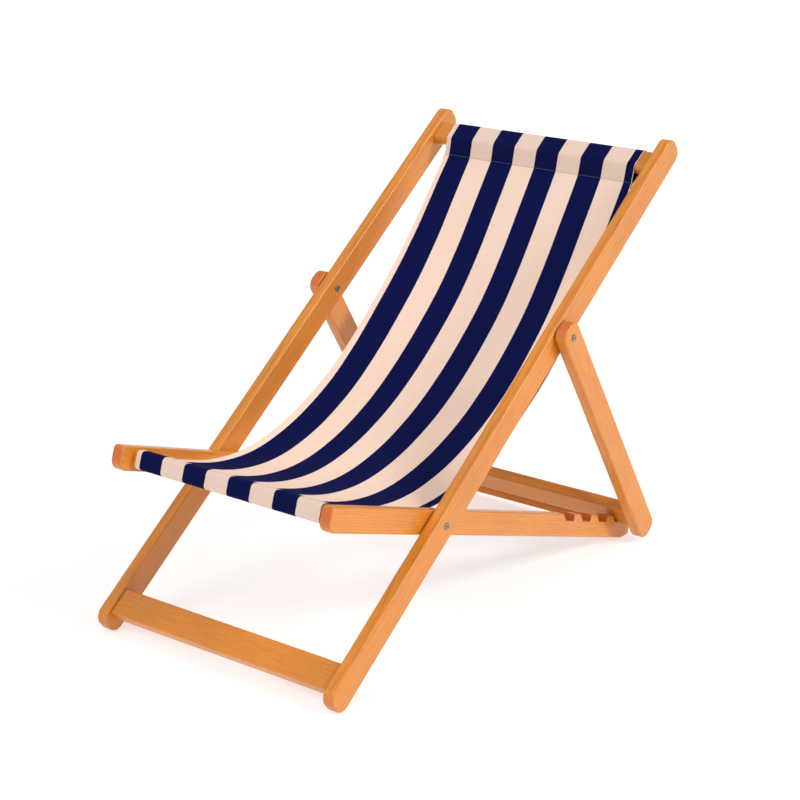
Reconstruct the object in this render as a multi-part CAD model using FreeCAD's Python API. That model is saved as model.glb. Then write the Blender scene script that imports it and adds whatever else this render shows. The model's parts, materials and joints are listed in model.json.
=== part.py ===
# Folding deck chair: three hinged beech frames and a striped canvas sling.
# Millimetres. X runs across the chair, -Y is the sitter's front, +Z is up, the floor is z = 0.
# The origin is under the middle of the chair's bounding box.
import FreeCAD, Part
import math
import os

# ---- driving dimensions ----
boardThickness = 23.0      # all rails and legs, measured across the chair
edgeSoftening = 3.0        # rounding along the boards' long edges
mainOuterWidth = 540.0     # over the two main rails
layerGap = 2.3             # space between two boards at a pivot, filled by a washer

mainLength = 1279.0        # long rails that carry the sling's top
mainDepth = 49.0
mainAngle = 36.2           # above the floor, leaning back
mainEndRadius = 20.0
seatPivotAlong = 376.0     # from the main rail's lower end
propPivotAlong = 805.0

seatDepth = 44.0           # notched rails inside the main rails
seatAngle = 19.0           # falling towards the back
seatFront = 294.0          # from the seat pivot forward to the rail's tip
seatRear = 684.0           # from the seat pivot back to the heel
seatFrontTopRadius = 8.0
seatFrontBottomRadius = 18.0
seatHeelRadius = 12.0

propDepth = 49.0           # supporting legs outside the main rails
propAngle = 58.4           # falling towards the back
propTop = 26.0             # from the prop pivot up to the leg's end
propBottom = 553.0         # from the prop pivot down to the leg's end
propEndRadius = 20.0

topRailStart = 1197.0      # along the main rail
topRailDepth = 48.0
topRailThickness = 24.0
topRailCentre = 4.0        # across the main rail, towards the sitter
topRailSoftening = 10.0
footRailStart = 20.0
footRailDepth = 53.0
footRailThickness = 22.0
footRailCentre = 8.0

frontBarRear = -242.5      # along the seat rail from its pivot
frontBarThickness = 23.0
frontBarTop = 17.5         # across the seat rail from its middle
frontBarBottom = -14.0
frontBarSoftening = 7.0
rearRailStart = 652.0
rearRailEnd = 674.0
rearRailTop = 6.5
rearRailBottom = -7.5
rearRailSoftening = 2.0

crossbarStart = 476.0      # down the prop leg from its pivot
crossbarEnd = 522.0
crossbarFront = -17.0      # across the prop leg, negative towards the sitter
crossbarThickness = 24.0
crossbarSoftening = 3.0

notchPitch = 62.5
closedNotches = 3          # the fourth rest is an open step at the rail's heel
notchTopWidth = 41.0
notchLean = 12.5           # how far the front wall leans back from top to floor
notchFirstFront = 422.0    # top front corner of the foremost notch
notchClearance = 0.3       # under the resting crossbar

slingWidth = 430.0
slingOffset = 2.5          # the cloth sits a little off centre on its rails
slingThickness = 2.0
slingGap = 0.5             # round the bars inside the hems
topHemLength = 22.0        # from the top rail's lower edge to the stitched seam
frontHemLength = 25.5      # from the front bar's rear face to the stitched seam
frontHemRise = 2.3         # seam above the front bar's middle
topSeamAcross = -6.0
seamLead = 6.0             # the pocket inside a hem ends this far before the seam
pocketEnd = 0.4            # its height there

dowelDiameter = 8.0
dowelBore = 8.1
dowelInRail = 15.0
dowelInBar = 22.0
dowelBoreOverrun = 1.0     # space behind each dowel's end
dowelShares = (0.25, 0.75) # places of a pair of dowels over a crosspiece's depth
frontBarDowelOffset = 8.0  # either side of the front bar's middle

barrelDiameter = 8.0       # sleeve nut that the boards turn on
barrelBore = 8.15
barrelFlangeDiameter = 13.0
screwDiameter = 6.0
screwBore = 6.1
screwHeadDiameter = 12.5
headThickness = 2.0
headRecess = 0.15          # free play under the heads
washerDiameter = 20.0
washerBore = 8.4
washerThickness = 2.0
headRounding = 0.9
barrelEndGap = 0.5         # the sleeve stops short of the outer face
barrelWall = 5.0           # closed end of the sleeve, under its flange
screwEndGap = 3.0          # space between the screw's tip and the sleeve's closed end
cutOverrun = 5.0           # cutting tools run this far past a face

# ---- places worked out from them ----
mainOuter = mainOuterWidth / 2
mainInner = mainOuter - boardThickness
seatOuter = mainInner - layerGap
seatInner = seatOuter - boardThickness
propInner = mainOuter + layerGap
propOuter = propInner + boardThickness


class Line:
    """A board's own axes in the side view: along its length and across its depth."""

    def __init__(self, y, z, angle):
        self.y, self.z = y, z
        self.cosine = math.cos(math.radians(angle))
        self.sine = math.sin(math.radians(angle))

    def at(self, along, across=0.0):
        return (self.y + along * self.cosine - across * self.sine,
                self.z + along * self.sine + across * self.cosine)

    def measure(self, y, z):
        dy, dz = y - self.y, z - self.z
        return dy * self.cosine + dz * self.sine, dz * self.cosine - dy * self.sine


# The main rail stands on its rounded lower corner, and the box is centred front to back.
flat = mainDepth / 2 - mainEndRadius
lean = Line(0, 0, mainAngle)
lowestCorner = lean.at(mainEndRadius, -flat)[1] - mainEndRadius
foremost = lean.at(mainEndRadius, flat)[0] - mainEndRadius
rearmost = lean.at(mainLength - mainEndRadius, -flat)[0] + mainEndRadius
main = Line(-(foremost + rearmost) / 2, -lowestCorner, mainAngle)
seat = Line(*main.at(seatPivotAlong), -seatAngle)
prop = Line(*main.at(propPivotAlong), -propAngle)


def extrude(points, xLow, xHigh):
    corners = [FreeCAD.Vector(xLow, y, z) for y, z in points]
    face = Part.Face(Part.makePolygon(corners + corners[:1]))
    return face.extrude(FreeCAD.Vector(xHigh - xLow, 0, 0))


def roundCorner(solid, point, radius):
    y, z = point
    chosen = [edge for edge in solid.Edges
              if all(math.hypot(v.Y - y, v.Z - z) < 0.01 for v in edge.Vertexes)]
    return solid.makeFillet(radius, chosen)


def softenSides(solid, xLow, xHigh, radius):
    chosen = [edge for edge in solid.Edges
              if all(abs(v.X - xLow) < 0.01 for v in edge.Vertexes)
              or all(abs(v.X - xHigh) < 0.01 for v in edge.Vertexes)]
    return solid.makeFillet(radius, chosen)


def softenLength(solid, radius):
    chosen = [edge for edge in solid.Edges if abs(edge.Vertexes[0].X - edge.Vertexes[-1].X) > 1]
    return solid.makeFillet(radius, chosen)


def rectangle(line, alongLow, alongHigh, acrossLow, acrossHigh):
    return [line.at(alongLow, acrossLow), line.at(alongHigh, acrossLow),
            line.at(alongHigh, acrossHigh), line.at(alongLow, acrossHigh)]


def board(line, low, high, depth, xLow, xHigh, radii):
    # radii: lower and upper corner at the low end, then at the high end; None leaves a corner square
    half = depth / 2
    solid = extrude(rectangle(line, low, high, -half, half), xLow, xHigh)
    corners = [(low, -half), (low, half), (high, -half), (high, half)]
    for (along, across), radius in zip(corners, radii):
        if radius:
            solid = roundCorner(solid, line.at(along, across), radius)
    return softenSides(solid, xLow, xHigh, edgeSoftening)


def rod(point, diameter, xFrom, xTo):
    y, z = point
    start = FreeCAD.Vector(min(xFrom, xTo), y, z)
    return Part.makeCylinder(diameter / 2, abs(xTo - xFrom), start, FreeCAD.Vector(1, 0, 0))


def crosspiece(line, alongLow, alongHigh, acrossLow, acrossHigh, halfLength, softening):
    solid = extrude(rectangle(line, alongLow, alongHigh, acrossLow, acrossHigh), -halfLength, halfLength)
    return softenLength(solid, softening)


def dowelRods(line, places, reach, diameter, inRail, inBar):
    return [rod(line.at(*place), diameter, side * (reach - inBar), side * (reach + inRail))
            for side in (-1, 1) for place in places]


def dowels(line, places, reach):
    return Part.makeCompound(dowelRods(line, places, reach, dowelDiameter, dowelInRail, dowelInBar))


def dowelBores(line, places, reach):
    inRail, inBar = dowelInRail + dowelBoreOverrun, dowelInBar + dowelBoreOverrun
    return dowelRods(line, places, reach, dowelBore, inRail, inBar)


def cutAll(solid, tools):
    for tool in tools:
        solid = solid.cut(tool)
    return solid


pieces = {}

# ---- main frame ----
topRailPlaces = [(topRailStart + topRailDepth * share, topRailCentre) for share in dowelShares]
footRailPlaces = [(footRailStart + footRailDepth * share, footRailCentre) for share in dowelShares]
mainDowelBores = dowelBores(main, topRailPlaces, mainInner) + dowelBores(main, footRailPlaces, mainInner)
boreReach = propOuter + cutOverrun
pivotBores = [rod(line.at(0), barrelBore, -boreReach, boreReach) for line in (seat, prop)]
for name, side in (("left", -1), ("right", 1)):
    low, high = sorted((side * mainInner, side * mainOuter))
    rail = board(main, 0, mainLength, mainDepth, low, high, [mainEndRadius] * 4)
    pieces["main_rail_" + name] = cutAll(rail, pivotBores + mainDowelBores)

topRail = crosspiece(main, topRailStart, topRailStart + topRailDepth,
                     topRailCentre - topRailThickness / 2, topRailCentre + topRailThickness / 2,
                     mainInner, topRailSoftening)
footRail = crosspiece(main, footRailStart, footRailStart + footRailDepth,
                      footRailCentre - footRailThickness / 2, footRailCentre + footRailThickness / 2,
                      mainInner, edgeSoftening)
pieces["top_rail"] = cutAll(topRail, mainDowelBores)
pieces["foot_rail"] = cutAll(footRail, mainDowelBores)
pieces["top_rail_dowels"] = dowels(main, topRailPlaces, mainInner)
pieces["foot_rail_dowels"] = dowels(main, footRailPlaces, mainInner)

# ---- prop frame ----
crossbarMiddle = crossbarFront + crossbarThickness / 2
crossbarPlaces = [(crossbarStart + (crossbarEnd - crossbarStart) * share, crossbarMiddle)
                  for share in dowelShares]
propDowelBores = dowelBores(prop, crossbarPlaces, propInner)
for name, side in (("left", -1), ("right", 1)):
    low, high = sorted((side * propInner, side * propOuter))
    leg = board(prop, -propTop, propBottom, propDepth, low, high, [propEndRadius] * 4)
    pieces["prop_leg_" + name] = cutAll(leg, pivotBores + propDowelBores)
crossbar = crosspiece(prop, crossbarStart, crossbarEnd, crossbarFront,
                      crossbarFront + crossbarThickness, propInner, crossbarSoftening)
pieces["prop_crossbar"] = cutAll(crossbar, propDowelBores)
pieces["prop_crossbar_dowels"] = dowels(prop, crossbarPlaces, propInner)

# ---- seat frame ----
# The crossbar's rounded front lower corner stands on the notch floor. Behind the closed notches the
# rail steps down to that floor, so the crossbar can slide off over the heel as the chair folds.
seatHalf = seatDepth / 2
roundingCentre = prop.at(crossbarEnd - crossbarSoftening, crossbarFront + crossbarSoftening)
notchFloor = seat.measure(*roundingCentre)[1] - crossbarSoftening - notchClearance
above = seatHalf + cutOverrun


def notchOutline(front, rear):
    # the front wall leans at the same slope above the rail's edge, so that the cut opens cleanly
    slope = notchLean / (seatHalf - notchFloor)
    return [seat.at(front - slope * (above - seatHalf), above), seat.at(front + notchLean, notchFloor),
            seat.at(rear, notchFloor), seat.at(rear, above)]


notchFronts = [notchFirstFront + notchPitch * step for step in range(closedNotches)]
notchCuts = [(front, front + notchTopWidth) for front in notchFronts]
notchCuts.append((notchFirstFront + notchPitch * closedNotches, seatRear + cutOverrun))

frontBarFront = frontBarRear - frontBarThickness
frontBarMiddle = (frontBarTop + frontBarBottom) / 2
frontBarPlaces = [((frontBarFront + frontBarRear) / 2, frontBarMiddle + offset)
                  for offset in (-frontBarDowelOffset, frontBarDowelOffset)]
rearRailPlaces = [((rearRailStart + rearRailEnd) / 2, (rearRailTop + rearRailBottom) / 2)]
seatDowelBores = dowelBores(seat, frontBarPlaces, seatInner) + dowelBores(seat, rearRailPlaces, seatInner)
heelY = seat.at(seatRear)[0]
floorCut = Part.makeBox(mainOuterWidth, seatDepth * 4, seatDepth,
                        FreeCAD.Vector(-mainOuter, heelY - seatDepth * 2, -seatDepth))
for name, side in (("left", -1), ("right", 1)):
    low, high = sorted((side * seatInner, side * seatOuter))
    rail = board(seat, -seatFront, seatRear, seatDepth, low, high,
                 [seatFrontBottomRadius, seatFrontTopRadius, None, seatHeelRadius])
    notches = [extrude(notchOutline(front, rear), low - cutOverrun, high + cutOverrun)
               for front, rear in notchCuts]
    pieces["seat_rail_" + name] = cutAll(rail, notches + pivotBores + seatDowelBores + [floorCut])

frontBar = crosspiece(seat, frontBarFront, frontBarRear, frontBarBottom, frontBarTop, seatInner,
                      frontBarSoftening)
rearRail = crosspiece(seat, rearRailStart, rearRailEnd, rearRailBottom, rearRailTop, seatInner,
                      rearRailSoftening)
pieces["front_bar"] = cutAll(frontBar, seatDowelBores)
pieces["rear_rail"] = cutAll(rearRail, seatDowelBores)
pieces["front_bar_dowels"] = dowels(seat, frontBarPlaces, seatInner)
pieces["rear_rail_dowels"] = dowels(seat, rearRailPlaces, seatInner)

# ---- pivots: a sleeve nut from the inside, a screw from the outside, a washer between the boards ----


def roundRim(disc, x):
    rim = [edge for edge in disc.Edges if abs(edge.BoundBox.XMin - x) < 0.01 and edge.BoundBox.XLength < 0.01]
    return disc.makeFillet(headRounding, rim)


def pivot(line, side, inner, outer, gapStart):
    place = line.at(0)
    nutFace = inner - headRecess
    screwFace = outer + headRecess
    flangeTop = side * (nutFace - headThickness)
    headTop = side * (screwFace + headThickness)
    sleeve = rod(place, barrelDiameter, side * nutFace, side * (outer - barrelEndGap))
    flange = roundRim(rod(place, barrelFlangeDiameter, flangeTop, side * nutFace), flangeTop)
    thread = rod(place, screwBore, side * (nutFace + barrelWall), side * (outer + cutOverrun))
    nut = sleeve.fuse(flange).cut(thread)
    shank = rod(place, screwDiameter, side * (nutFace + barrelWall + screwEndGap), side * screwFace)
    head = roundRim(rod(place, screwHeadDiameter, side * screwFace, headTop), headTop)
    screw = shank.fuse(head)
    play = (layerGap - washerThickness) / 2
    ring = rod(place, washerDiameter, side * (gapStart + play), side * (gapStart + layerGap - play))
    washer = ring.cut(rod(place, washerBore, side * (gapStart - cutOverrun), side * (gapStart + cutOverrun)))
    return screw, nut, washer


for name, side in (("left", -1), ("right", 1)):
    for label, line, inner, outer, gapStart in (
            ("seat_pivot_", seat, seatInner, mainOuter, seatOuter),
            ("prop_pivot_", prop, mainInner, propOuter, mainOuter)):
        screw, nut, washer = pivot(line, side, inner, outer, gapStart)
        pieces[label + "screw_" + name] = screw
        pieces[label + "nut_" + name] = nut
        pieces[label + "washer_" + name] = washer

# ---- sling: a hem round the top rail, the hanging cloth, a hem round the front bar ----
slingLow = slingOffset - slingWidth / 2
slingHigh = slingOffset + slingWidth / 2


def hem(line, box, seam, seamSign):
    # box: along and across limits of the bar; seam: where the two layers meet, before or behind the bar
    alongLow, alongHigh, acrossLow, acrossHigh = box

    def loop(offset, seamAlong, seamHalf):
        if seamSign < 0:
            points = [(alongHigh + offset, acrossHigh + offset), (alongHigh + offset, acrossLow - offset),
                      (alongLow, acrossLow - offset), (seamAlong, seam[1] - seamHalf),
                      (seamAlong, seam[1] + seamHalf), (alongLow, acrossHigh + offset)]
        else:
            points = [(alongLow - offset, acrossLow - offset), (alongLow - offset, acrossHigh + offset),
                      (alongHigh, acrossHigh + offset), (seamAlong, seam[1] + seamHalf),
                      (seamAlong, seam[1] - seamHalf), (alongHigh, acrossLow - offset)]
        return extrude([line.at(*point) for point in points], slingLow, slingHigh)

    outside = loop(slingGap + slingThickness, seam[0], slingThickness / 2)
    inside = loop(slingGap, seam[0] - seamSign * seamLead, pocketEnd / 2)
    return outside.cut(inside)


topSeam = (topRailStart - topHemLength, topSeamAcross)
frontSeam = (frontBarRear + frontHemLength, frontBarMiddle + frontHemRise)
topHem = hem(main, (topRailStart, topRailStart + topRailDepth, topRailCentre - topRailThickness / 2,
                    topRailCentre + topRailThickness / 2), topSeam, -1)
frontHem = hem(seat, (frontBarFront, frontBarRear, frontBarBottom, frontBarTop), frontSeam, 1)

# the cloth's side view between the seams, along and across the main rail
hangPoints = [(1085, -35), (1000, -63), (910, -84), (820, -93), (730, -95), (640, -89), (550, -71),
              (480, -46), (425, -17), (375, 22), (325, 77)]
hangLine = [main.at(*topSeam)] + [main.at(*point) for point in hangPoints] + [seat.at(*frontSeam)]
hang = Part.BSplineCurve()
hang.interpolate([FreeCAD.Vector(slingLow, y, z) for y, z in hangLine])


def shifted(offset, count=28):
    points = []
    for step in range(count):
        share = hang.FirstParameter + (hang.LastParameter - hang.FirstParameter) * step / (count - 1)
        tangent = hang.tangent(share)[0]
        normal = FreeCAD.Vector(0, -tangent.z, tangent.y)
        points.append(hang.value(share) + normal * offset)
    curve = Part.BSplineCurve()
    curve.interpolate(points)
    return curve.toShape(), points[0], points[-1]


nearSide, nearTop, nearFront = shifted(slingThickness / 2)
farSide, farTop, farFront = shifted(-slingThickness / 2)
outline = Part.Wire(Part.__sortEdges__([nearSide, Part.makeLine(nearTop, farTop),
                                        farSide, Part.makeLine(nearFront, farFront)]))
hangCloth = Part.Face(outline).extrude(FreeCAD.Vector(slingWidth, 0, 0))
pieces["sling"] = hangCloth.fuse([topHem, frontHem]).removeSplitter()

# ---- files ----
os.makedirs("parts", exist_ok=True)
for name, shape in pieces.items():
    state = "valid" if shape.isValid() else "BAD"
    print(name, len(shape.Solids), "solid(s)", round(shape.Volume / 1000, 1), "cm3", state)
    shape.exportStep("parts/" + name + ".step")
print("seat pivot", [round(value, 2) for value in seat.at(0)])
print("prop pivot", [round(value, 2) for value in prop.at(0)])
print("cloth between the seams", round(hang.length(), 1), "mm, notch floor", round(notchFloor, 2))
print(len(pieces), "pieces")
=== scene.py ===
import bpy
import json
import math
from mathutils import Euler, Matrix, Vector


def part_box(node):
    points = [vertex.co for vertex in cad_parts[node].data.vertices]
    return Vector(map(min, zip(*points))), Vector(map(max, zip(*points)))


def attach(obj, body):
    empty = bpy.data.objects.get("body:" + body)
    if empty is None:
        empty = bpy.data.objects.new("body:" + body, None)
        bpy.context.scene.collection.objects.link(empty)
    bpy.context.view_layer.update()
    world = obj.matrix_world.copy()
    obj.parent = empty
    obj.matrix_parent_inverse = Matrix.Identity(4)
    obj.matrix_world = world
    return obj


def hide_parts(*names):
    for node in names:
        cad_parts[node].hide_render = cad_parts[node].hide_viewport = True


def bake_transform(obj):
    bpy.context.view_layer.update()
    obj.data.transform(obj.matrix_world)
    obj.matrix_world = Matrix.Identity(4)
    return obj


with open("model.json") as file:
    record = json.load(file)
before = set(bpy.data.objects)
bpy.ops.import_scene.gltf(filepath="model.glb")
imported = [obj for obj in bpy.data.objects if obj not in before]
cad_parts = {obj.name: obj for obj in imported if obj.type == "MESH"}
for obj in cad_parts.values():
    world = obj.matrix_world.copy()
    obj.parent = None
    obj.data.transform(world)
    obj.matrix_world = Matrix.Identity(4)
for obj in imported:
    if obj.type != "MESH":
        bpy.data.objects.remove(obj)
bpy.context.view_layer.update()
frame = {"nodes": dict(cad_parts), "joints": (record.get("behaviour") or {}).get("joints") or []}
print("frame loaded:", len(frame["nodes"]), "nodes")


# small tools
def fromHex(code):
    # sRGB hex to linear, with alpha 1
    parts = [int(code[i:i + 2], 16) / 255 for i in (0, 2, 4)]
    linear = [c / 12.92 if c <= 0.04045 else ((c + 0.055) / 1.055) ** 2.4 for c in parts]
    return (*linear, 1.0)


def addNode(tree, kind, inputs=None, stops=(), **settings):
    # an input that is given a socket is linked, anything else is a value; stops are a colour ramp's own
    node = tree.nodes.new(kind)
    for name, value in settings.items():
        setattr(node, name, value)
    for name, value in (inputs or {}).items():
        if isinstance(value, bpy.types.NodeSocket):
            tree.links.new(value, node.inputs[name])
        else:
            node.inputs[name].default_value = value
    if stops:
        elements = node.color_ramp.elements
        elements.remove(elements[-1])
        elements[0].position, elements[0].color = stops[0]
        for place, colour in stops[1:]:
            elements.new(place).color = colour
    return node


def startMaterial(name):
    material = bpy.data.materials.new(name)
    material.use_nodes = True
    material.node_tree.nodes.clear()
    return material, material.node_tree


def deselectAll():
    if bpy.context.object and bpy.context.object.mode != "OBJECT":
        bpy.ops.object.mode_set(mode="OBJECT")
    bpy.ops.object.select_all(action="DESELECT")


def applyModifiers(piece):
    deselectAll()
    piece.select_set(True)
    bpy.context.view_layer.objects.active = piece
    for modifier in list(piece.modifiers):
        bpy.ops.object.modifier_apply(modifier=modifier.name)


def paint(piece, material):
    piece.data.materials.clear()
    piece.data.materials.append(material)


# the chair's own lines, read from the frame
class Line:
    # a board's length and depth as axes in the side view, from a pivot
    def __init__(self, pivot, angle):
        self.y, self.z = pivot[1], pivot[2]
        self.cosine, self.sine = math.cos(angle), math.sin(angle)

    def at(self, along, across):
        return (self.y + along * self.cosine - across * self.sine,
                self.z + along * self.sine + across * self.cosine)

    def measure(self, y, z):
        dy, dz = y - self.y, z - self.z
        return dy * self.cosine + dz * self.sine, dz * self.cosine - dy * self.sine

    def span(self, node):
        # a node's limits along and across this line
        points = [self.measure(v.co.y, v.co.z) for v in frame["nodes"][node].data.vertices]
        alongs, acrosses = zip(*points)
        return min(alongs), max(alongs), min(acrosses), max(acrosses)


pivots = {joint["name"]: joint["pos_m"] for joint in frame["joints"]}
mainAngle = math.atan2(pivots["prop_fold"][2] - pivots["seat_fold"][2],
                       pivots["prop_fold"][1] - pivots["seat_fold"][1])
boardTilt = {"seatRails": -19.0, "propLegs": -58.4}      # degrees in the side view, as the open chair stands
seatAngle = math.radians(boardTilt["seatRails"])
propAngle = math.radians(boardTilt["propLegs"])
mainLine = Line(pivots["seat_fold"], mainAngle)
seatLine = Line(pivots["seat_fold"], seatAngle)

# camera
cameraSetup = {
    "place": (2.1598, -2.7947, 1.5626),
    "azimuth": 37.608,
    "tilt": -19.0006,
    "roll": -0.268,
    "lens": 91.55,
}
cameraData = bpy.data.cameras.new("camera")
cameraData.lens = cameraSetup["lens"]
cameraData.sensor_width = 36.0
cameraData.clip_end = 100.0
camera = bpy.data.objects.new("camera", cameraData)
bpy.context.scene.collection.objects.link(camera)
turn = (Euler((0, 0, math.radians(cameraSetup["azimuth"]))).to_matrix()
        @ Euler((math.radians(90 + cameraSetup["tilt"]), 0, 0)).to_matrix()
        @ Euler((0, 0, math.radians(cameraSetup["roll"]))).to_matrix())
camera.location = cameraSetup["place"]
camera.rotation_euler = turn.to_euler()
bpy.context.scene.camera = camera
print("camera set")

# wood
woodLook = {
    "light": "E6962C",
    "middle": "D67E18",
    "dark": "A8500A",
    "endGrain": "C65800",
    "ringSpacing": 0.0034,     # growth rings of a fast-grown board
    "ringWobble": 0.0022,
    "poreWidth": 0.00045,
    "poreLength": 0.022,
    "tintPatch": 0.16,         # slow drift of colour along a board
    "pore": "8A4314",
    "ringDepth": 0.38,         # how far late wood and pores darken the colour
    "poreDepth": 0.35,
    "endDepth": 0.75,
    "varnish": 0.45,
    "varnishGloss": 0.22,
    "satin": (0.38, 0.56),     # roughness of the wood between its smooth and open streaks
    "ior": 1.5,
    "bump": 0.00012,
}


def varnishedWood(name, turnBy, pith, tint):
    # Oiled and varnished hardwood, planed and sanded: rings run along each board, thin dark pores lie
    # in them, and the clear coat gives one soft highlight over the satin wood.
    material, tree = startMaterial(name)
    look = woodLook
    place = addNode(tree, "ShaderNodeTexCoord")
    # the board's own axes: y along the grain, the tree's middle at the origin
    board = addNode(tree, "ShaderNodeMapping", {"Vector": place.outputs["Object"], "Rotation": turnBy,
                                                "Location": pith})
    slow = addNode(tree, "ShaderNodeMapping", {"Vector": board.outputs["Vector"], "Scale": (9.0, 1.3, 9.0)})
    wobble = addNode(tree, "ShaderNodeTexNoise", {"Vector": slow.outputs["Vector"], "Scale": 2.0,
                                                  "Detail": 3.0, "Roughness": 0.55})
    centred = addNode(tree, "ShaderNodeVectorMath", {0: wobble.outputs["Color"], 1: (0.5, 0.5, 0.5)},
                      operation="SUBTRACT")
    pushed = addNode(tree, "ShaderNodeVectorMath",
                     {0: centred.outputs["Vector"], 1: (look["ringWobble"] * 6, 0, look["ringWobble"] * 6),
                      2: board.outputs["Vector"]}, operation="MULTIPLY_ADD")
    flat = addNode(tree, "ShaderNodeVectorMath", {0: pushed.outputs["Vector"], 1: (1, 0, 1)},
                   operation="MULTIPLY")
    radius = addNode(tree, "ShaderNodeVectorMath", {0: flat.outputs["Vector"]}, operation="LENGTH")
    count = addNode(tree, "ShaderNodeMath", {0: radius.outputs["Value"], 1: look["ringSpacing"]},
                    operation="DIVIDE")
    ring = addNode(tree, "ShaderNodeMath", {0: count.outputs["Value"]}, operation="FRACT")
    # pale early wood darkens slowly, then drops back at the ring's edge
    ringTone = addNode(tree, "ShaderNodeValToRGB", {"Fac": ring.outputs["Value"]},
                       stops=[(0.0, (0.12, 0.12, 0.12, 1)), (0.55, (0.3, 0.3, 0.3, 1)), (0.86, (1, 1, 1, 1)),
                              (0.94, (0.75, 0.75, 0.75, 1)), (1.0, (0.12, 0.12, 0.12, 1))])
    fine = addNode(tree, "ShaderNodeMapping",
                   {"Vector": pushed.outputs["Vector"],
                    "Scale": (1 / look["poreWidth"], 1 / look["poreLength"], 1 / look["poreWidth"])})
    pores = addNode(tree, "ShaderNodeTexNoise", {"Vector": fine.outputs["Vector"], "Scale": 0.5,
                                                 "Detail": 2.0, "Roughness": 0.6})
    poreTone = addNode(tree, "ShaderNodeValToRGB", {"Fac": pores.outputs["Fac"]},
                       stops=[(0.34, (1, 1, 1, 1)), (0.47, (0.25, 0.25, 0.25, 1)), (0.62, (0, 0, 0, 1))])
    streakScale = addNode(tree, "ShaderNodeMapping", {"Vector": pushed.outputs["Vector"],
                                                      "Scale": (260.0, 3.0, 260.0)})
    streaks = addNode(tree, "ShaderNodeTexNoise", {"Vector": streakScale.outputs["Vector"], "Scale": 1.0,
                                                   "Detail": 4.0, "Roughness": 0.65})
    patches = addNode(tree, "ShaderNodeTexNoise", {"Vector": board.outputs["Vector"],
                                                   "Scale": 1 / look["tintPatch"], "Detail": 1.0})
    base = addNode(tree, "ShaderNodeMix", {"Factor": streaks.outputs["Fac"],
                                           "A": fromHex(look["light"]), "B": fromHex(look["middle"])},
                   data_type="RGBA")
    ringShare = addNode(tree, "ShaderNodeMath", {0: ringTone.outputs["Color"], 1: look["ringDepth"]},
                        operation="MULTIPLY")
    ringed = addNode(tree, "ShaderNodeMix", {"Factor": ringShare.outputs["Value"],
                                             "A": base.outputs["Result"], "B": fromHex(look["dark"])},
                     data_type="RGBA")
    poreShare = addNode(tree, "ShaderNodeMath", {0: poreTone.outputs["Color"], 1: look["poreDepth"]},
                        operation="MULTIPLY")
    pored = addNode(tree, "ShaderNodeMix", {"Factor": poreShare.outputs["Value"],
                                            "A": ringed.outputs["Result"], "B": fromHex(look["pore"])},
                    data_type="RGBA")
    brightness = addNode(tree, "ShaderNodeMapRange", {"Value": patches.outputs["Fac"], "From Min": 0.3,
                                                      "From Max": 0.7, "To Min": tint * 0.93,
                                                      "To Max": tint * 1.06})
    toned = addNode(tree, "ShaderNodeHueSaturation", {"Color": pored.outputs["Result"],
                                                      "Value": brightness.outputs["Result"]})
    # the open pores of the sawn ends drink more varnish, so the ends are deeper in colour
    upright = addNode(tree, "ShaderNodeMapping", {"Vector": place.outputs["Normal"], "Rotation": turnBy})
    parts = addNode(tree, "ShaderNodeSeparateXYZ", {"Vector": upright.outputs["Vector"]})
    facing = addNode(tree, "ShaderNodeMath", {0: parts.outputs["Y"]}, operation="ABSOLUTE")
    endShare = addNode(tree, "ShaderNodeMapRange", {"Value": facing.outputs["Value"], "From Min": 0.45,
                                                    "From Max": 0.95, "To Max": look["endDepth"]})
    finished = addNode(tree, "ShaderNodeMix", {"Factor": endShare.outputs["Result"],
                                               "A": toned.outputs["Color"], "B": fromHex(look["endGrain"])},
                       data_type="RGBA")
    height = addNode(tree, "ShaderNodeMath", {0: poreTone.outputs["Color"], 1: -1.0,
                                              2: streaks.outputs["Fac"]}, operation="MULTIPLY_ADD")
    bump = addNode(tree, "ShaderNodeBump", {"Height": height.outputs["Value"], "Strength": 0.35,
                                            "Distance": look["bump"]})
    gloss = addNode(tree, "ShaderNodeMapRange", {"Value": streaks.outputs["Fac"], "To Min": look["satin"][0],
                                                 "To Max": look["satin"][1]})
    shader = addNode(tree, "ShaderNodeBsdfPrincipled",
                     {"Base Color": finished.outputs["Result"], "Roughness": gloss.outputs["Result"],
                      "Normal": bump.outputs["Normal"], "IOR": look["ior"], "Coat Weight": look["varnish"],
                      "Coat Roughness": look["varnishGloss"]})
    addNode(tree, "ShaderNodeOutputMaterial", {"Surface": shader.outputs["BSDF"]})
    return material


def alongBoard(angle):
    return (-angle, 0, 0)


acrossChair = (0, 0, math.pi / 2)
# each board was sawn from its own place in the tree, so the rings differ from board to board
boards = {
    "main_rail_left": (alongBoard(mainAngle), (0.31, 0.0, 0.07), 1.0),
    "main_rail_right": (alongBoard(mainAngle), (-0.20, 0.4, 0.045), 1.02),
    "seat_rail_left": (alongBoard(seatAngle), (0.29, 0.8, -0.03), 0.98),
    "seat_rail_right": (alongBoard(seatAngle), (-0.16, 1.3, -0.06), 1.03),
    "prop_leg_left": (alongBoard(propAngle), (0.35, 2.1, 0.08), 0.97),
    "prop_leg_right": (alongBoard(propAngle), (-0.22, 1.7, 0.05), 1.04),
    "top_rail": (acrossChair, (0.42, 0.2, -0.70), 0.96),
    "foot_rail": (acrossChair, (-0.53, 0.9, 0.02), 1.0),
    "front_bar": (acrossChair, (-0.41, 1.4, -0.28), 1.0),
    "rear_rail": (acrossChair, (0.38, 1.9, 0.05), 0.95),
    "prop_crossbar": (acrossChair, (0.44, 2.4, 0.03), 0.99),
}
for node, (turnBy, pith, tint) in boards.items():
    paint(frame["nodes"][node], varnishedWood("varnished_wood_" + node, turnBy, pith, tint))
dowelWood = varnishedWood("turned_beech_dowel", acrossChair, (0.0, 3.0, 0.0), 1.02)
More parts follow.
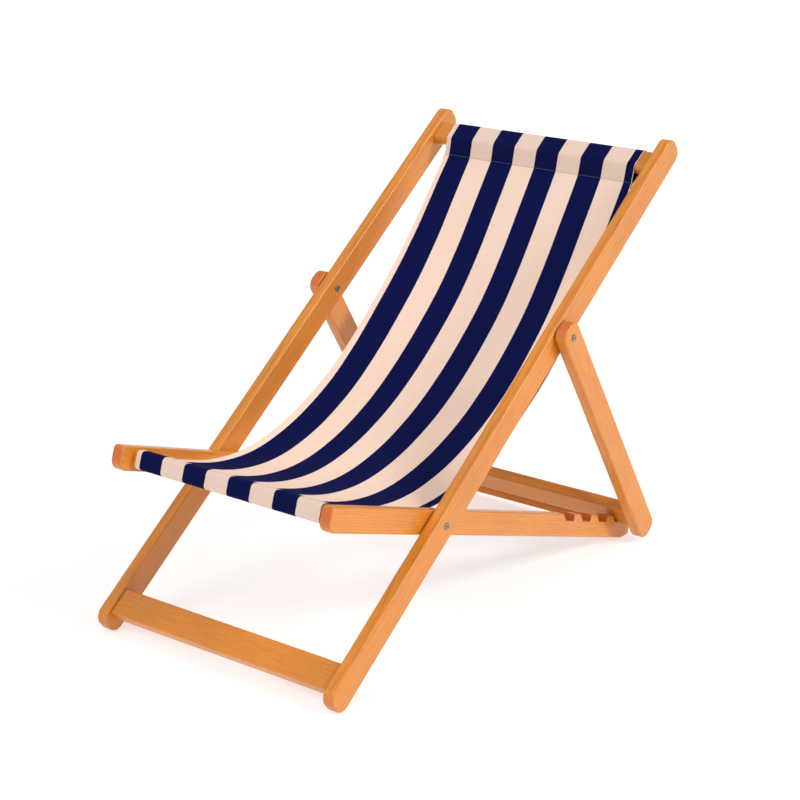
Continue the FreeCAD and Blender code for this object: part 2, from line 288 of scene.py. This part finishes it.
for node in frame["nodes"]:
    if node.endswith("dowels"):
        paint(frame["nodes"][node], dowelWood)
print("wood done:", len(boards), "boards")

# steel
steelLook = {"colour": "A9A8A4", "dull": "7F7E7A", "grain": 0.0006}


def zincPlatedSteel(name):
    # Pressed and zinc plated steel: a grey, slightly cloudy shine that is duller in random patches.
    material, tree = startMaterial(name)
    place = addNode(tree, "ShaderNodeTexCoord")
    cloud = addNode(tree, "ShaderNodeTexNoise", {"Vector": place.outputs["Object"], "Scale": 400.0,
                                                 "Detail": 3.0})
    grain = addNode(tree, "ShaderNodeTexNoise", {"Vector": place.outputs["Object"],
                                                 "Scale": 1 / steelLook["grain"], "Detail": 1.0})
    colour = addNode(tree, "ShaderNodeMix",
                     {"Factor": cloud.outputs["Fac"], "A": fromHex(steelLook["colour"]),
                      "B": fromHex(steelLook["dull"])}, data_type="RGBA")
    rough = addNode(tree, "ShaderNodeMapRange", {"Value": cloud.outputs["Fac"], "To Min": 0.28,
                                                 "To Max": 0.5})
    bump = addNode(tree, "ShaderNodeBump", {"Height": grain.outputs["Fac"], "Strength": 0.2,
                                            "Distance": 0.00003})
    shader = addNode(tree, "ShaderNodeBsdfPrincipled",
                     {"Base Color": colour.outputs["Result"], "Metallic": 1.0,
                      "Roughness": rough.outputs["Result"], "Normal": bump.outputs["Normal"]})
    addNode(tree, "ShaderNodeOutputMaterial", {"Surface": shader.outputs["BSDF"]})
    return material


steel = zincPlatedSteel("zinc_plated_steel")
for node in frame["nodes"]:
    if "_pivot_" in node:
        paint(frame["nodes"][node], steel)
print("steel done")

# canvas
canvasLook = {
    "cream": "FFE6D6",
    "creamShade": "F0D0BC",
    "navy": "040A3A",
    "navyLight": "0A1654",
    "stripe": 0.0509,
    "selvedge": 0.0105,        # undyed edge on the left
    "rightSelvedge": 0.0010,
    "hemShade": 0.86,          # painted shade on both hems: the doubled cloth of a hem lets no light through
    "thread": 0.0018,          # real threads are about 0.6 mm apart, too fine to show, so drawn coarser
    "slubLength": 1 / 14,
    "borderWander": 0.0012,
    "roughness": 0.88,
    "shine": 0.08,
    "bump": 0.0005,
}


def wovenCanvas(name):
    # Yarn-dyed cotton canvas in a plain weave: matt, with single threads that go over and under each
    # other, small differences from yarn to yarn, and stripe borders that step thread by thread.
    material, tree = startMaterial(name)
    look = canvasLook
    flat = addNode(tree, "ShaderNodeUVMap", uv_map="flatCloth")
    parts = addNode(tree, "ShaderNodeSeparateXYZ", {"Vector": flat.outputs["UV"]})
    across, along = parts.outputs["X"], parts.outputs["Y"]

    mathNode = "ShaderNodeMath"
    # plain weave: each yarn is a half wave, and warp and weft take turns on top
    warpPhase = addNode(tree, mathNode, {0: across, 1: math.pi / look["thread"]}, operation="MULTIPLY")
    weftPhase = addNode(tree, mathNode, {0: along, 1: math.pi / look["thread"]}, operation="MULTIPLY")
    warp = addNode(tree, mathNode, {0: warpPhase.outputs["Value"]}, operation="SINE")
    weft = addNode(tree, mathNode, {0: weftPhase.outputs["Value"]}, operation="SINE")
    warpTop = addNode(tree, mathNode, {0: warp.outputs["Value"]}, operation="ABSOLUTE")
    weftTop = addNode(tree, mathNode, {0: weft.outputs["Value"]}, operation="ABSOLUTE")
    crossing = addNode(tree, mathNode, {0: warp.outputs["Value"], 1: weft.outputs["Value"]},
                       operation="MULTIPLY")
    over = addNode(tree, mathNode, {0: crossing.outputs["Value"], 1: 1.6, 2: 0.5}, operation="MULTIPLY_ADD",
                   use_clamp=True)
    height = addNode(tree, "ShaderNodeMix", {"Factor": over.outputs["Value"], "A": warpTop.outputs["Value"],
                                             "B": weftTop.outputs["Value"]}, data_type="FLOAT")
    # slubs: each yarn is a little thicker here and there
    warpYarn = addNode(tree, "ShaderNodeMapping",
                       {"Vector": flat.outputs["UV"],
                        "Scale": (1 / look["thread"], 1 / look["slubLength"], 1.0)})
    weftYarn = addNode(tree, "ShaderNodeMapping",
                       {"Vector": flat.outputs["UV"],
                        "Scale": (1 / look["slubLength"], 1 / look["thread"], 1.0)})
    warpSlub = addNode(tree, "ShaderNodeTexNoise", {"Vector": warpYarn.outputs["Vector"], "Scale": 0.9,
                                                    "Detail": 2.0})
    weftSlub = addNode(tree, "ShaderNodeTexNoise", {"Vector": weftYarn.outputs["Vector"], "Scale": 0.9,
                                                    "Detail": 2.0})
    slub = addNode(tree, "ShaderNodeMix", {"Factor": over.outputs["Value"], "A": warpSlub.outputs["Fac"],
                                           "B": weftSlub.outputs["Fac"]}, data_type="FLOAT")
    # stripes, with borders that wander by less than a thread
    wander = addNode(tree, "ShaderNodeTexNoise", {"Vector": flat.outputs["UV"], "Scale": 900.0,
                                                  "Detail": 1.0})
    middled = addNode(tree, mathNode, {0: wander.outputs["Fac"], 1: 0.5}, operation="SUBTRACT")
    shifted = addNode(tree, mathNode, {0: middled.outputs["Value"], 1: look["borderWander"], 2: across},
                      operation="MULTIPLY_ADD")
    fromLeft = addNode(tree, mathNode, {0: shifted.outputs["Value"], 1: look["selvedge"]},
                       operation="SUBTRACT")
    pairs = addNode(tree, mathNode, {0: fromLeft.outputs["Value"], 1: 2 * look["stripe"]}, operation="DIVIDE")
    pairShare = addNode(tree, mathNode, {0: pairs.outputs["Value"]}, operation="FRACT")
    stripe = addNode(tree, mathNode, {0: pairShare.outputs["Value"], 1: 0.5}, operation="LESS_THAN")
    pastLeft = addNode(tree, mathNode, {0: shifted.outputs["Value"], 1: look["selvedge"]},
                       operation="GREATER_THAN")
    beforeRight = addNode(tree, mathNode, {0: shifted.outputs["Value"],
                                           1: slingCut["width"] - look["rightSelvedge"]},
                          operation="LESS_THAN")
    dyedLeft = addNode(tree, mathNode, {0: stripe.outputs["Value"], 1: pastLeft.outputs["Value"]},
                       operation="MULTIPLY")
    isNavy = addNode(tree, mathNode, {0: dyedLeft.outputs["Value"], 1: beforeRight.outputs["Value"]},
                     operation="MULTIPLY")
    cream = addNode(tree, "ShaderNodeMix",
                    {"Factor": slub.outputs["Result"], "A": fromHex(look["creamShade"]),
                     "B": fromHex(look["cream"])}, data_type="RGBA")
    navy = addNode(tree, "ShaderNodeMix",
                   {"Factor": slub.outputs["Result"], "A": fromHex(look["navy"]),
                    "B": fromHex(look["navyLight"])}, data_type="RGBA")
    dyed = addNode(tree, "ShaderNodeMix", {"Factor": isNavy.outputs["Value"], "A": cream.outputs["Result"],
                                           "B": navy.outputs["Result"]}, data_type="RGBA")
    # painted shade: the gaps between threads are darker and their tops a little lighter, and the doubled
    # cloth of the two hems is darker
    depth = addNode(tree, "ShaderNodeMapRange", {"Value": height.outputs["Result"], "To Min": 0.76,
                                                 "To Max": 1.06})
    # painted shade on the doubled cloth of the two hems
    topHem = addNode(tree, mathNode, {0: along, 1: hangStart}, operation="LESS_THAN")
    frontHem = addNode(tree, mathNode, {0: along, 1: hangEnd}, operation="GREATER_THAN")
    hem = addNode(tree, mathNode, {0: topHem.outputs["Value"], 1: frontHem.outputs["Value"]},
                  operation="MAXIMUM")
    paintedHemShade = addNode(tree, mathNode, {0: hem.outputs["Value"], 1: look["hemShade"] - 1, 2: 1.0},
                      operation="MULTIPLY_ADD")
    paintedShadeTone = addNode(tree, mathNode, {0: depth.outputs["Result"], 1: paintedHemShade.outputs["Value"]},
                   operation="MULTIPLY")
    shade = addNode(tree, "ShaderNodeHueSaturation", {"Color": dyed.outputs["Result"],
                                                      "Value": paintedShadeTone.outputs["Value"]})
    relief = addNode(tree, mathNode, {0: slub.outputs["Result"], 1: 0.6, 2: height.outputs["Result"]},
                     operation="MULTIPLY_ADD")
    bump = addNode(tree, "ShaderNodeBump", {"Height": relief.outputs["Value"], "Strength": 0.5,
                                            "Distance": look["bump"]})
    shader = addNode(tree, "ShaderNodeBsdfPrincipled",
                     {"Base Color": shade.outputs["Color"], "Roughness": look["roughness"],
                      "Normal": bump.outputs["Normal"], "Specular IOR Level": look["shine"]})
    addNode(tree, "ShaderNodeOutputMaterial", {"Surface": shader.outputs["BSDF"]})
    return material


# sling
slingCut = {
    "width": 0.4355,
    "topEdges": (-0.2150, 0.2245),      # where the cloth's two edges lie, a little off centre
    "seamEdges": (-0.2122, 0.2225),
    "lowerEdges": (-0.2120, 0.2188),    # the load has pulled the cloth narrower
    "thickness": 0.0009,
    "columns": 74,
    "step": 0.007,             # along the hanging cloth
    "standOff": 0.0011,        # from a bar's surface to the middle of the cloth
    "layerGap": 0.0012,        # between the two layers at a seam
    "topSoftening": 0.010,
    "frontSoftening": 0.007,
    "topHem": 0.022,           # below the top rail, to the seam
    "topSeamAcross": -0.006,
    "frontHem": 0.0255,        # behind the front bar, to the seam
    "frontHemRise": 0.0023,
    "turnIn": 0.009,           # the hem's edge runs on past the seam
    "topTurnOff": 0.0028,      # and stands off the cloth by this much
    "frontTurnOff": 0.0045,
    "wrapTurn": 0.26,          # radians from row to row round a bar
    "narrowingRun": 0.25,      # the edges reach their lower places this far below the top seam
    "topEase": 0.05,           # the lie of the cloth fades out over these runs at its two seams
    "frontEase": 0.08,
    "rightLiftFrom": 0.72,     # shares of half the width where the edges start to turn up
    "curlFrom": 0.90,
    "leftLiftPower": 2.6,
    "leftLift": 0.022,         # the left edge is pulled tighter high up the back
    "leftLiftAt": 0.515,       # up the main rails from the seat pivot, and its reach either way
    "leftLiftReach": 0.19,
    "droop": 0.011,            # the right of the middle hangs lower
    "droopAt": 0.355,
    "droopReach": 0.25,
    "droopAside": 0.62,        # where, as a share of half the width, and how wide
    "droopWidth": 0.75,
    "rightLift": 0.006,        # the right edge turns up again
    "curl": 0.017,             # the left selvedge turns up sharply by the seat
    "curlAt": 0.17,
    "curlReach": 0.24,
}
# the hanging cloth's side view, along and across the main rails from the seat pivot
hangPoints = [(0.709, -0.035), (0.624, -0.063), (0.534, -0.084), (0.444, -0.093), (0.354, -0.095),
              (0.264, -0.089), (0.174, -0.071), (0.104, -0.046), (0.049, -0.017), (-0.001, 0.022),
              (-0.051, 0.077)]


def headingTo(a, b):
    return math.atan2(b[1] - a[1], b[0] - a[0])


def wrapRound(centres, radius, start, end, turn):
    # a taut path from start round equal circles to end; turn is 1 with the circles on its left, else -1
    def beside(centre, heading):
        return (centre[0] + radius * math.cos(heading - turn * math.pi / 2),
                centre[1] + radius * math.sin(heading - turn * math.pi / 2))

    first, last = centres[0], centres[-1]
    headings = [headingTo(start, first) - turn * math.asin(radius / math.dist(start, first))]
    headings += [headingTo(a, b) for a, b in zip(centres, centres[1:])]
    headings.append(headingTo(last, end) + turn * math.asin(radius / math.dist(last, end)))
    path = [start]
    for centre, before, after in zip(centres, headings, headings[1:]):
        bend = (after - before) * turn % (2 * math.pi) * turn
        steps = max(2, math.ceil(abs(bend) / slingCut["wrapTurn"]))
        path += [beside(centre, before + bend * step / steps) for step in range(steps + 1)]
    return path + [end]


def evenly(path, step):
    # splits long straight runs
    result = [path[0]]
    for a, b in zip(path, path[1:]):
        pieces = max(1, math.ceil(math.dist(a, b) / step))
        result += [(a[0] + (b[0] - a[0]) * i / pieces, a[1] + (b[1] - a[1]) * i / pieces)
                   for i in range(1, pieces + 1)]
    return result


def smoothThrough(points, step):
    # a Catmull-Rom curve through all the points
    padded = [points[0]] + points + [points[-1]]
    result = [points[0]]
    for p0, p1, p2, p3 in zip(padded, padded[1:], padded[2:], padded[3:]):
        pieces = max(1, math.ceil(math.dist(p1, p2) / step))
        for i in range(1, pieces + 1):
            t = i / pieces
            result.append(tuple(0.5 * (2 * b + (c - a) * t + (2 * a - 5 * b + 4 * c - d) * t * t
                                       + (3 * b - a - 3 * c + d) * t ** 3)
                                for a, b, c, d in zip(p0, p1, p2, p3)))
    return result


def slingPath():
    cut = slingCut
    topLow, topHigh, topBack, topFace = mainLine.span("top_rail")
    soft, reach = cut["topSoftening"], cut["topSoftening"] + cut["standOff"]
    topCentres = [(topLow + soft, topBack + soft), (topHigh - soft, topBack + soft),
                  (topHigh - soft, topFace - soft), (topLow + soft, topFace - soft)]
    half = cut["layerGap"] / 2
    topSeam = (topLow - cut["topHem"], cut["topSeamAcross"])
    underEdge = (topSeam[0] - cut["turnIn"], topSeam[1] - half - cut["topTurnOff"])
    underSeam, faceSeam = (topSeam[0], topSeam[1] - half), (topSeam[0], topSeam[1] + half)
    topLoop = [underEdge] + wrapRound(topCentres, reach, underSeam, faceSeam, 1)
    topLoop = [mainLine.at(*point) for point in evenly(topLoop, cut["step"])]

    frontTip, frontBack, barUnder, barTop = seatLine.span("front_bar")
    soft, reach = cut["frontSoftening"], cut["frontSoftening"] + cut["standOff"]
    frontCentres = [(frontBack - soft, barTop - soft), (frontTip + soft, barTop - soft),
                    (frontTip + soft, barUnder + soft), (frontBack - soft, barUnder + soft)]
    frontSeam = (frontBack + cut["frontHem"], (barUnder + barTop) / 2 + cut["frontHemRise"])
    overSeam, lowSeam = (frontSeam[0], frontSeam[1] + half), (frontSeam[0], frontSeam[1] - half)
    lowEdge = (frontSeam[0] + cut["turnIn"], frontSeam[1] - half + cut["frontTurnOff"])
    frontLoop = wrapRound(frontCentres, reach, overSeam, lowSeam, 1) + [lowEdge]
    frontLoop = [seatLine.at(*point) for point in evenly(frontLoop, cut["step"])]

    hang = [topLoop[-1]] + [mainLine.at(*point) for point in hangPoints] + [frontLoop[0]]
    hang = smoothThrough(hang, cut["step"])
    return topLoop, hang, frontLoop


topLoop, hang, frontLoop = slingPath()
slingRows = topLoop + hang[1:-1] + frontLoop     # side view of the whole cloth, as y and z
rowPlaces = [0.0]
for a, b in zip(slingRows, slingRows[1:]):
    rowPlaces.append(rowPlaces[-1] + math.dist(a, b))
flatLength = rowPlaces[-1]
topSeamRow = len(topLoop) - 1
frontSeamRow = len(topLoop) + len(hang) - 2
hangStart, hangEnd = rowPlaces[topSeamRow], rowPlaces[frontSeamRow]
print("sling cut:", round(slingCut["width"], 4), "x", round(flatLength, 4), "m, of which",
      round(hangEnd - hangStart, 4), "m hangs")


def smoothStep(value, low, high):
    t = min(1.0, max(0.0, (value - low) / (high - low)))
    return t * t * (3 - 2 * t)


def sidePlace(across, along):
    # where a point of the flat cloth lies from side to side
    cut = slingCut
    topMiddle = rowPlaces[topSeamRow] / 2
    first = smoothStep(along, topMiddle, hangStart)
    second = smoothStep(along, hangStart, hangStart + cut["narrowingRun"])
    edges = [a + (b - a) * first + (c - b) * second
             for a, b, c in zip(cut["topEdges"], cut["seamEdges"], cut["lowerEdges"])]
    return edges[0] + (edges[1] - edges[0]) * across / cut["width"]


def bell(value, middle, reach):
    return math.exp(-((value - middle) / reach) ** 2)


def lieOfCloth(aside, along, up):
    # how far the cloth lies above its middle line: aside runs from -1 at the left edge to 1
    cut = slingCut
    towardsLeft = max(0.0, -aside) ** cut["leftLiftPower"]
    left = cut["leftLift"] * bell(up, cut["leftLiftAt"], cut["leftLiftReach"]) * towardsLeft
    low = bell(up, cut["droopAt"], cut["droopReach"])
    right = cut["rightLift"] * smoothStep(aside, cut["rightLiftFrom"], 1.0) * low
    down = cut["droop"] * low * bell(aside, cut["droopAside"], cut["droopWidth"])
    left += cut["curl"] * smoothStep(-aside, cut["curlFrom"], 1.0) * bell(up, cut["curlAt"], cut["curlReach"])
    ease = (smoothStep(along, hangStart, hangStart + cut["topEase"])
            * (1 - smoothStep(along, hangEnd - cut["frontEase"], hangEnd)))
    return (left + right - down) * ease


def makeSling():
    cut = slingCut
    deselectAll()
    bpy.ops.mesh.primitive_grid_add(x_subdivisions=cut["columns"], y_subdivisions=len(slingRows) - 1, size=1)
    sling = bpy.context.object
    sling.name = sling.data.name = "striped_sling"
    mesh = sling.data
    flatMap = mesh.uv_layers.new(name="flatCloth")
    rows = len(slingRows) - 1
    # every point's place in the flat cloth, then on the chair
    flatPlace = {}
    for vertex in mesh.vertices:
        row = round((vertex.co.y + 0.5) * rows)
        across = (vertex.co.x + 0.5) * cut["width"]
        flatPlace[vertex.index] = (across, rowPlaces[row])
        y, z = slingRows[row]
        if hangStart < rowPlaces[row] < hangEnd:
            rise = lieOfCloth(2 * across / cut["width"] - 1, rowPlaces[row], mainLine.measure(y, z)[0])
            y, z = y - rise * mainLine.sine, z + rise * mainLine.cosine
        vertex.co = (sidePlace(across, rowPlaces[row]), y, z)
    for loop in mesh.loops:
        flatMap.data[loop.index].uv = flatPlace[loop.vertex_index]
    for old in [layer for layer in mesh.uv_layers if layer.name != "flatCloth"]:
        mesh.uv_layers.remove(old)
    held = sling.vertex_groups.new(name="held")
    hemPoints = [index for index, (across, along) in flatPlace.items()
                 if along <= hangStart or along >= hangEnd]
    held.add(hemPoints, 1.0, "REPLACE")
    return sling


sling = makeSling()
clothSetup = {"frames": 24, "quality": 8, "stretch": 400.0, "bend": 2.0, "massPerPoint": 0.0002,
              "airDamping": 2.0}


def hangCloth(piece):
    # the cloth hangs between its two hems under its own weight
    cloth = piece.modifiers.new("hang", "CLOTH")
    setup = cloth.settings
    setup.quality = clothSetup["quality"]
    setup.mass = clothSetup["massPerPoint"]
    setup.tension_stiffness = setup.compression_stiffness = clothSetup["stretch"]
    setup.shear_stiffness = clothSetup["stretch"] / 4
    setup.bending_stiffness = clothSetup["bend"]
    setup.air_damping = clothSetup["airDamping"]
    setup.vertex_group_mass = "held"
    cloth.collision_settings.use_collision = False
    cloth.point_cache.frame_start, cloth.point_cache.frame_end = 1, clothSetup["frames"]
    for step in range(1, clothSetup["frames"] + 1):
        bpy.context.scene.frame_set(step)
    applyModifiers(piece)


before = [vertex.co.copy() for vertex in sling.data.vertices]
hangCloth(sling)
moved = max((vertex.co - old).length for vertex, old in zip(sling.data.vertices, before))
print("cloth hung, it moved by at most", round(moved * 1000, 1), "mm")

solid = sling.modifiers.new("thickness", "SOLIDIFY")
solid.thickness = slingCut["thickness"]
solid.offset = 0.0
applyModifiers(sling)
deselectAll()
sling.select_set(True)
bpy.context.view_layer.objects.active = sling
bpy.ops.object.shade_smooth_by_angle(angle=math.radians(50))
paint(sling, wovenCanvas("striped_cotton_canvas"))
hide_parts("sling")
print("sling done:", len(sling.data.polygons), "faces")

# seams
seamLook = {
    "pitch": 0.0036,           # from one stitch to the next
    "length": 0.0029,
    "radius": 0.00032,
    "margin": 0.004,           # bare cloth at each end of a row
    "inset": 0.0016,           # from the seam's line into the hem
    "endTaper": 0.6,           # how much thinner a stitch is at its ends, and how far it dips there
    "endDip": 1.3,
    "raised": 0.35,            # its middle stands this share of its radius above the cloth
}


def spunThread(name):
    # Twisted polyester thread: a grey between the two dyes, slightly shiny, with a fine diagonal lay.
    material, tree = startMaterial(name)
    place = addNode(tree, "ShaderNodeTexCoord")
    lay = addNode(tree, "ShaderNodeTexWave", {"Vector": place.outputs["Object"], "Scale": 450.0,
                                              "Distortion": 1.0}, bands_direction="DIAGONAL")
    # the darker bands in the grooves of the lay are painted shade
    colour = addNode(tree, "ShaderNodeMix", {"Factor": lay.outputs["Fac"], "A": fromHex("6B6468"),
                                             "B": fromHex("8C8588")}, data_type="RGBA")
    bump = addNode(tree, "ShaderNodeBump", {"Height": lay.outputs["Fac"], "Strength": 0.4,
                                            "Distance": 0.0001})
    shader = addNode(tree, "ShaderNodeBsdfPrincipled",
                     {"Base Color": colour.outputs["Result"], "Roughness": 0.6,
                      "Normal": bump.outputs["Normal"], "Sheen Weight": 0.1})
    addNode(tree, "ShaderNodeOutputMaterial", {"Surface": shader.outputs["BSDF"]})
    return material


thread = spunThread("twisted_sewing_thread")


def onPath(place):
    # a place along the cloth as y and z, and the way its outer side faces
    index = max(i for i, start in enumerate(rowPlaces[:-1]) if start <= place)
    (y0, z0), (y1, z1) = slingRows[index], slingRows[index + 1]
    length = rowPlaces[index + 1] - rowPlaces[index]
    share = (place - rowPlaces[index]) / length
    return y0 + (y1 - y0) * share, z0 + (z1 - z0) * share, (z1 - z0) / length, -(y1 - y0) / length


def stitchRow(name, place, body):
    # one short stitch that dips into the cloth at both ends, repeated across the sling
    look = seamLook
    y, z, outY, outZ = onPath(place)
    left = sidePlace(look["margin"], place)
    right = sidePlace(slingCut["width"] - look["margin"], place)
    deselectAll()
    bpy.ops.mesh.primitive_cylinder_add(vertices=6, radius=look["radius"], depth=look["length"],
                                        rotation=(0, math.pi / 2, 0))
    row = bpy.context.object
    row.name = row.data.name = name
    bpy.ops.object.transform_apply(location=True, rotation=True, scale=True)
    bpy.ops.object.mode_set(mode="EDIT")
    for cut in (-0.32, 0.0, 0.32):
        bpy.ops.mesh.select_all(action="SELECT")
        bpy.ops.mesh.bisect(plane_co=(look["length"] * cut, 0, 0), plane_no=(1, 0, 0))
    bpy.ops.object.mode_set(mode="OBJECT")
    for vertex in row.data.vertices:
        reach = abs(vertex.co.x) / (look["length"] / 2)
        thinner = 1 - look["endTaper"] * reach ** 4
        vertex.co.y *= thinner
        vertex.co.z = vertex.co.z * thinner - look["radius"] * look["endDip"] * reach ** 2
    repeat = row.modifiers.new("repeat", "ARRAY")
    repeat.use_relative_offset = False
    repeat.use_constant_offset = True
    repeat.constant_offset_displace = (look["pitch"], 0, 0)
    repeat.count = int((right - left) / look["pitch"])
    applyModifiers(row)
    lift = slingCut["thickness"] / 2 + look["radius"] * look["raised"]
    row.data.transform(Matrix.Rotation(math.atan2(-outY, outZ), 4, "X"))
    row.data.transform(Matrix.Translation((left + look["pitch"] / 2, y + outY * lift, z + outZ * lift)))
    bpy.ops.object.shade_smooth_by_angle(angle=math.radians(60))
    paint(row, thread)
    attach(row, body)
    return row


inset = seamLook["inset"]
stitches = [
    stitchRow("top_seam_front_stitches", hangStart - inset, "main_frame"),
    stitchRow("top_seam_back_stitches", slingCut["turnIn"] + inset, "main_frame"),
    stitchRow("front_seam_upper_stitches", hangEnd + inset, "seat_frame"),
    stitchRow("front_seam_lower_stitches", flatLength - slingCut["turnIn"] - inset, "seat_frame"),
]
print("seams done:", len(stitches), "rows")

# pivot heads
headLook = {
    "thickness": 0.002,
    "screwShank": 0.003,       # radii of what goes on behind the head
    "nutShank": 0.004,
    "socket": 0.0042,          # across the hexagon's flats
    "socketDepth": 0.0014,
    "socketBevel": 0.0002,
    "rimBevel": 0.0007,
    "sides": 36,
}
onPlane = 1e-5                 # how near a point lies to the plane it is picked by


def clearPicks(piece):
    # leaves edit mode with nothing in the mesh selected
    bpy.ops.object.mode_set(mode="OBJECT")
    for part in (piece.data.vertices, piece.data.edges, piece.data.polygons):
        part.foreach_set("select", [False] * len(part))


def makePivotFitting(node):
    # a turned head with a rounded rim and a hexagon socket, on its shank
    look = headLook
    low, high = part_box(node)
    side = 1 if low[0] + high[0] > 0 else -1
    headSide = side if "screw" in node else -side     # screws go in from outside, nuts from inside
    headEnd, tip = (high[0], low[0]) if headSide > 0 else (low[0], high[0])
    radius = (high[1] - low[1]) / 2
    y, z = (low[1] + high[1]) / 2, (low[2] + high[2]) / 2
    shankRadius = look["screwShank"] if "screw" in node else look["nutShank"]
    deselectAll()
    bpy.ops.mesh.primitive_cylinder_add(vertices=look["sides"], radius=radius, depth=look["thickness"],
                                        location=(headEnd - headSide * look["thickness"] / 2, y, z),
                                        rotation=(0, math.pi / 2, 0))
    piece = bpy.context.object
    piece.name = piece.data.name = node + "_turned"
    bpy.ops.object.transform_apply(location=True, rotation=True, scale=True)

    def pickDisc(x):
        # selects the head's flat face that lies at x, in edit mode
        clearPicks(piece)
        for face in piece.data.polygons:
            face.select = abs(face.center.x - x) < onPlane and len(face.vertices) == look["sides"]
        bpy.ops.object.mode_set(mode="EDIT")
        bpy.ops.mesh.select_mode(type="FACE")

    # the rim on the outer side
    clearPicks(piece)
    for edge in piece.data.edges:
        ends = [piece.data.vertices[index].co for index in edge.vertices]
        edge.select = all(abs(end.x - headEnd) < onPlane for end in ends)
    bpy.ops.object.mode_set(mode="EDIT")
    bpy.ops.mesh.select_mode(type="EDGE")
    bpy.ops.mesh.bevel(offset=look["rimBevel"], segments=3, affect="EDGES")
    # the socket
    pickDisc(headEnd)
    bpy.ops.mesh.inset(thickness=radius - look["rimBevel"] - look["socket"] * 0.62)
    bpy.ops.object.mode_set(mode="OBJECT")
    for face in [face for face in piece.data.polygons if face.select]:
        for index in face.vertices:
            vertex = piece.data.vertices[index]
            around = math.atan2(vertex.co.z - z, vertex.co.y - y) % (math.pi / 3) - math.pi / 6
            reach = look["socket"] / 2 / math.cos(around)
            away = Vector((0, vertex.co.y - y, vertex.co.z - z)).normalized() * reach
            vertex.co = (headEnd, y + away.y, z + away.z)
    bpy.ops.object.mode_set(mode="EDIT")
    bpy.ops.mesh.inset(thickness=look["socketBevel"])
    for depth in (look["socketBevel"], look["socketDepth"]):
        bpy.ops.mesh.extrude_region_move(TRANSFORM_OT_translate={"value": (-headSide * depth, 0, 0)})
    # the shank behind the head
    under = headEnd - headSide * look["thickness"]
    pickDisc(under)
    bpy.ops.mesh.inset(thickness=radius - shankRadius)
    bpy.ops.mesh.extrude_region_move(TRANSFORM_OT_translate={"value": (tip - under, 0, 0)})
    bpy.ops.mesh.select_all(action="SELECT")
    bpy.ops.mesh.normals_make_consistent(inside=False)
    bpy.ops.object.mode_set(mode="OBJECT")
    bpy.ops.object.shade_smooth_by_angle(angle=math.radians(35))
    paint(piece, steel)
    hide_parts(node)
    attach(piece, "main_frame")
    return piece


fittings = [makePivotFitting(node) for node in sorted(frame["nodes"])
            if "_pivot_screw_" in node or "_pivot_nut_" in node]
print("pivot heads done:", len(fittings))

# stage and light
stageLook = {
    "floor": "C4C3C3",
    "floorCloud": "C8C7C6",
    "floorGlow": 0.58,         # part of the floor's light is its own, so the shadow on it stays faint
    "floorSize": 60,
    "floorDrop": 0.0005,
    "world": "FFFFFF",
    "worldStrength": 0.48,
    "suns": {                  # where each stands, its power, its softness in degrees and its colour
        "key": ((2.3, 0.6, 1.7), 1.85, 20, "FFFAF4"),
        "front": ((-0.5, -2.0, 2.1), 1.25, 36, "FFFFFF"),
    },
}


def makeFloor():
    deselectAll()
    bpy.ops.mesh.primitive_plane_add(size=stageLook["floorSize"], location=(0, 0, -stageLook["floorDrop"]))
    floor = bpy.context.object
    floor.name = "floor"
    material, tree = startMaterial("pale_floor")
    place = addNode(tree, "ShaderNodeTexCoord")
    cloud = addNode(tree, "ShaderNodeTexNoise", {"Vector": place.outputs["Object"], "Scale": 0.7})
    colour = addNode(tree, "ShaderNodeMix",
                     {"Factor": cloud.outputs["Fac"], "A": fromHex(stageLook["floor"]),
                      "B": fromHex(stageLook["floorCloud"])}, data_type="RGBA")
    shader = addNode(tree, "ShaderNodeBsdfPrincipled", {"Base Color": colour.outputs["Result"],
                                                        "Roughness": 0.9, "Specular IOR Level": 0.1,
                                                        "Emission Color": fromHex("FFFFFF"),
                                                        "Emission Strength": stageLook["floorGlow"]})
    addNode(tree, "ShaderNodeOutputMaterial", {"Surface": shader.outputs["BSDF"]})
    paint(floor, material)


def addSun(name, place, power, softness, colour):
    data = bpy.data.lights.new(name, "SUN")
    data.energy = power
    data.angle = math.radians(softness)
    data.color = fromHex(colour)[:3]
    light = bpy.data.objects.new(name, data)
    bpy.context.scene.collection.objects.link(light)
    light.location = place
    light.rotation_euler = (-Vector(place)).to_track_quat("-Z", "Y").to_euler()


makeFloor()
for name, settings in stageLook["suns"].items():
    addSun(name, *settings)
world = bpy.data.worlds.new("studio")
world.use_nodes = True
world.node_tree.nodes["Background"].inputs["Color"].default_value = fromHex(stageLook["world"])
world.node_tree.nodes["Background"].inputs["Strength"].default_value = stageLook["worldStrength"]
bpy.context.scene.world = world
bpy.context.scene.view_settings.view_transform = "Standard"
print("stage and light done")


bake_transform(sling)
# each point's place along the flat cloth, read from its flat map
places = [0.0] * len(sling.data.vertices)
flatMap = sling.data.uv_layers["flatCloth"].data
for loop in sling.data.loops:
    places[loop.vertex_index] = round(flatMap[loop.index].uv[1], 6)
